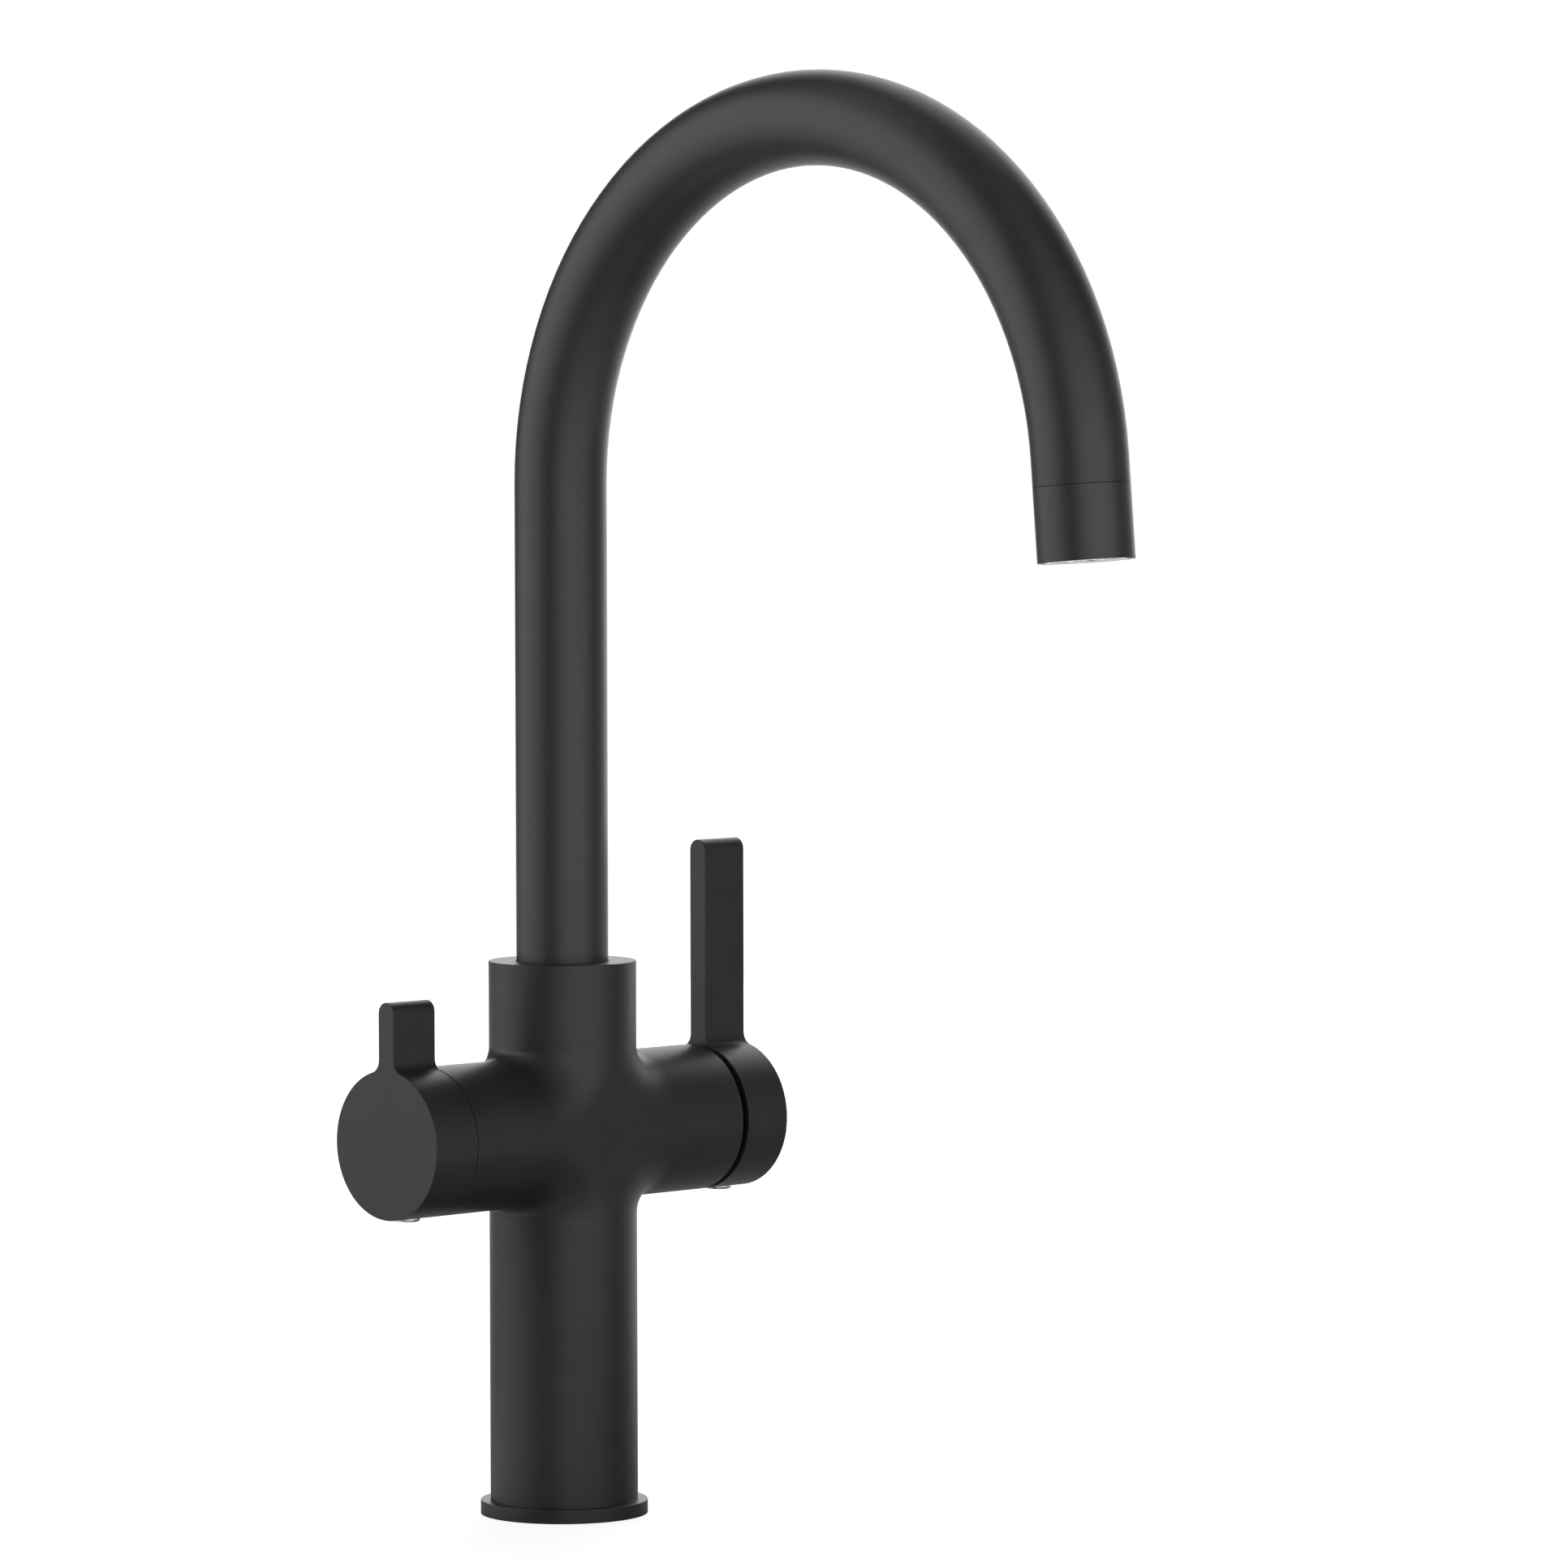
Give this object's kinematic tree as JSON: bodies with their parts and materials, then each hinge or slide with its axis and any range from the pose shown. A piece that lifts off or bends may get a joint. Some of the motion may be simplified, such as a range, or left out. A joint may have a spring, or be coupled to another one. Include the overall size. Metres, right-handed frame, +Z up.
{
  "type": "three-way kitchen tap",
  "caption": "Swan-neck kitchen tap with a swivel spout, a side lever that mixes hot and cold water and a smaller lever for filtered water.",
  "frame": {"origin": "middle of the base on the worktop, under the column's axis", "axes": "+Z up along the column, -Y the way the spout points at rest, +X towards the mixer lever"},
  "size_m": [0.146, 0.2576, 0.436],
  "materials": {
    "matte_black": "matte",
    "gloss_black": "gloss",
    "black_plastic": "satin",
    "acetal": "satin",
    "brass": "satin",
    "ceramic": "polished",
    "rubber": "matte",
    "steel": "satin"
  },
  "bodies": {
    "body": {"body_casting": "matte_black", "base_ring": "matte_black", "base_seal": "rubber", "spout_bush": "acetal", "filter_tube_seal": "rubber", "cartridge_base": "acetal", "cartridge_port_seals": "rubber", "cartridge_fixed_disc": "ceramic", "cartridge_housing": "acetal", "cartridge_nut": "brass", "mixer_dome": "black_plastic", "filter_seat_seal": "rubber", "filter_valve_body": "brass", "filter_valve_gasket": "rubber", "filter_fixed_disc": "ceramic"},
    "spout": {"spout_tube": "matte_black", "spout_tail": "brass", "spout_tail_rings": "rubber", "spout_snap_ring": "acetal", "filter_tube": "acetal", "nozzle": "matte_black", "nozzle_seal": "rubber", "aerator_washer": "rubber", "aerator_housing": "black_plastic", "aerator_screen": "steel"},
    "turret": {"cartridge_turret": "acetal", "lever_pin": "steel"},
    "mixer_lever": {"mixer_stem": "brass", "mixer_handle": "matte_black", "mixer_grub_screw": "steel", "mixer_plug": "gloss_black"},
    "disc_slider": {"disc_carrier": "acetal", "cartridge_moving_disc": "ceramic"},
    "filter_lever": {"filter_spindle": "brass", "filter_spindle_ring": "rubber", "filter_spindle_clip": "steel", "filter_moving_disc": "ceramic", "filter_handle": "matte_black", "filter_grub_screw": "steel", "filter_plug": "gloss_black"}
  },
  "joints": [
    {"name": "spout_swivel", "type": "hinge", "parent": "body", "child": "spout", "pos_m": [0, 0, 0.169], "axis": [0, 0, 1], "continuous": true},
    {"name": "mixer_temperature", "type": "hinge", "parent": "body", "child": "turret", "pos_m": [0.03645, 0, 0.1175], "axis": [1, 0, 0], "range_deg": [-50, 50]},
    {"name": "mixer_flow", "type": "hinge", "parent": "turret", "child": "mixer_lever", "pos_m": [0.03645, 0, 0.1175], "axis": [0, 1, 0], "range_deg": [0, 20]},
    {"name": "disc_slide", "type": "slide", "parent": "turret", "child": "disc_slider", "axis": [0, 0, 1], "range_m": [0, 0.00255]},
    {"name": "filter_turn", "type": "hinge", "parent": "body", "child": "filter_lever", "pos_m": [-0.0635, 0, 0.1175], "axis": [1, 0, 0], "range_deg": [0, 90]}
  ],
  "couplings": [
    {"joint": "disc_slide", "follows": "mixer_flow", "m_per_rad": 0.0073}
  ]
}
